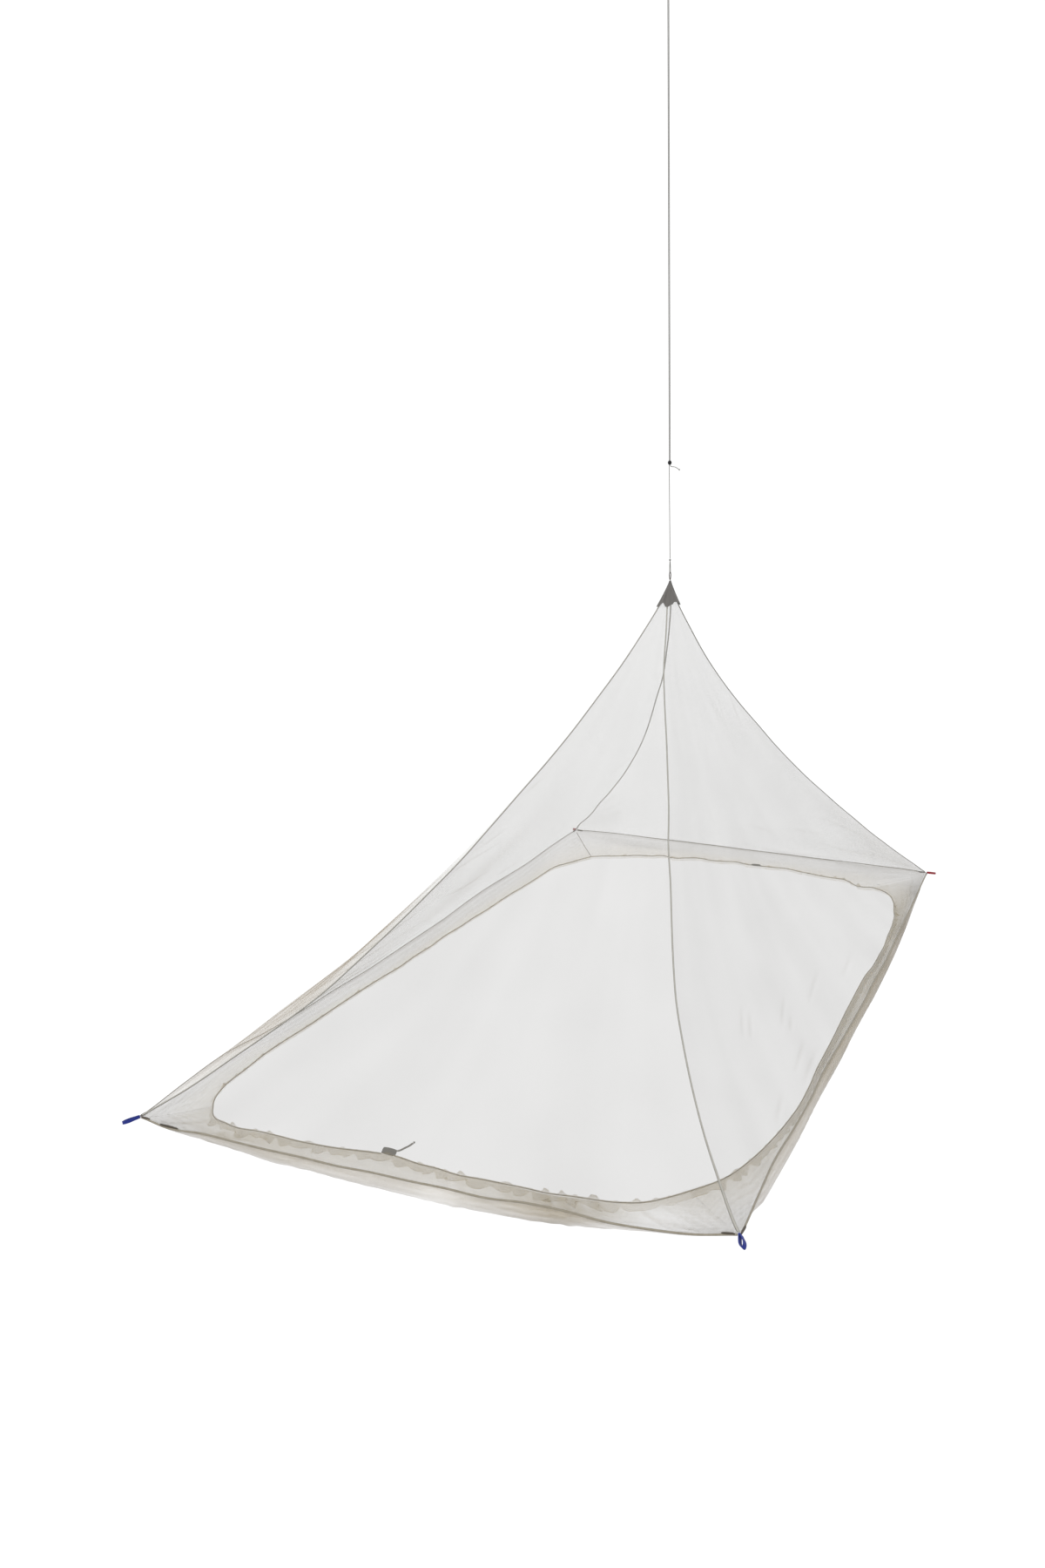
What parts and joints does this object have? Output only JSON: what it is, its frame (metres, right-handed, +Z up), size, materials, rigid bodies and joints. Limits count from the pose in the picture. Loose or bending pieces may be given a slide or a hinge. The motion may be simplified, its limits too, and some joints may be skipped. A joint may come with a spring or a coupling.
{
  "type": "mosquito net canopy with cord, cap and corner loops",
  "caption": "Netting canopy hung from a doubled cord at its cloth cap, with a turned-in skirt gathered on a drawcord round the open bottom and webbing loops at the corners.",
  "frame": {"origin": "the hang point, at the top of the doubled hang cord, where it bends over what holds it", "axes": "+Z up; X across the net; Y along the net, +Y towards the head end (red loops), -Y towards the foot end (blue loops)"},
  "size_m": [1.3025, 2.475, 2.5734],
  "materials": {
    "netting": "fine see-through polyester netting, greyish white",
    "seam_tape": "greenish beige seam binding",
    "dark_tape": "dark grey brown woven tape",
    "grey_cloth": "dark grey woven cloth",
    "grey_cord": "grey round cord",
    "black_plastic": "black moulded plastic",
    "blue_webbing": "blue webbing",
    "red_webbing": "red webbing"
  },
  "bodies": {
    "root": {"base_tape_foot": "seam_tape", "base_tape_head": "seam_tape", "base_tape_left": "seam_tape", "base_tape_right": "seam_tape", "cap": "grey_cloth", "cord_lock": "black_plastic", "cord_sleeve_foot": "dark_tape", "cord_sleeve_head": "dark_tape", "corner_loop_foot_left": "blue_webbing", "corner_loop_foot_right": "blue_webbing", "corner_loop_head_left": "red_webbing", "corner_loop_head_right": "red_webbing", "corner_tab_foot_left_foot": "seam_tape", "corner_tab_foot_left_left": "seam_tape", "corner_tab_foot_right_foot": "seam_tape", "corner_tab_foot_right_right": "seam_tape", "corner_tab_head_left_head": "seam_tape", "corner_tab_head_left_left": "seam_tape", "corner_tab_head_right_head": "seam_tape", "corner_tab_head_right_right": "seam_tape", "drawcord_left": "grey_cord", "drawcord_right": "grey_cord", "drawcord_tail_1": "grey_cord", "drawcord_tail_2": "grey_cord", "drawcord_tail_knot": "grey_cord", "hang_cord": "grey_cord", "hang_eye": "grey_cord", "hang_knot": "grey_cord", "hang_loop": "grey_cloth", "hang_tail_knot": "grey_cord", "mitre_tape_foot_left": "seam_tape", "mitre_tape_foot_right": "seam_tape", "mitre_tape_head_left": "seam_tape", "mitre_tape_head_right": "seam_tape", "ridge_tape_foot_left": "seam_tape", "ridge_tape_foot_right": "seam_tape", "ridge_tape_head_left": "seam_tape", "ridge_tape_head_right": "seam_tape", "side_tab": "dark_tape", "skirt_foot": "netting", "skirt_head": "netting", "skirt_left": "netting", "skirt_right": "netting", "wall_foot": "netting", "wall_head": "netting", "wall_left": "netting", "wall_right": "netting"}
  },
  "joints": []
}
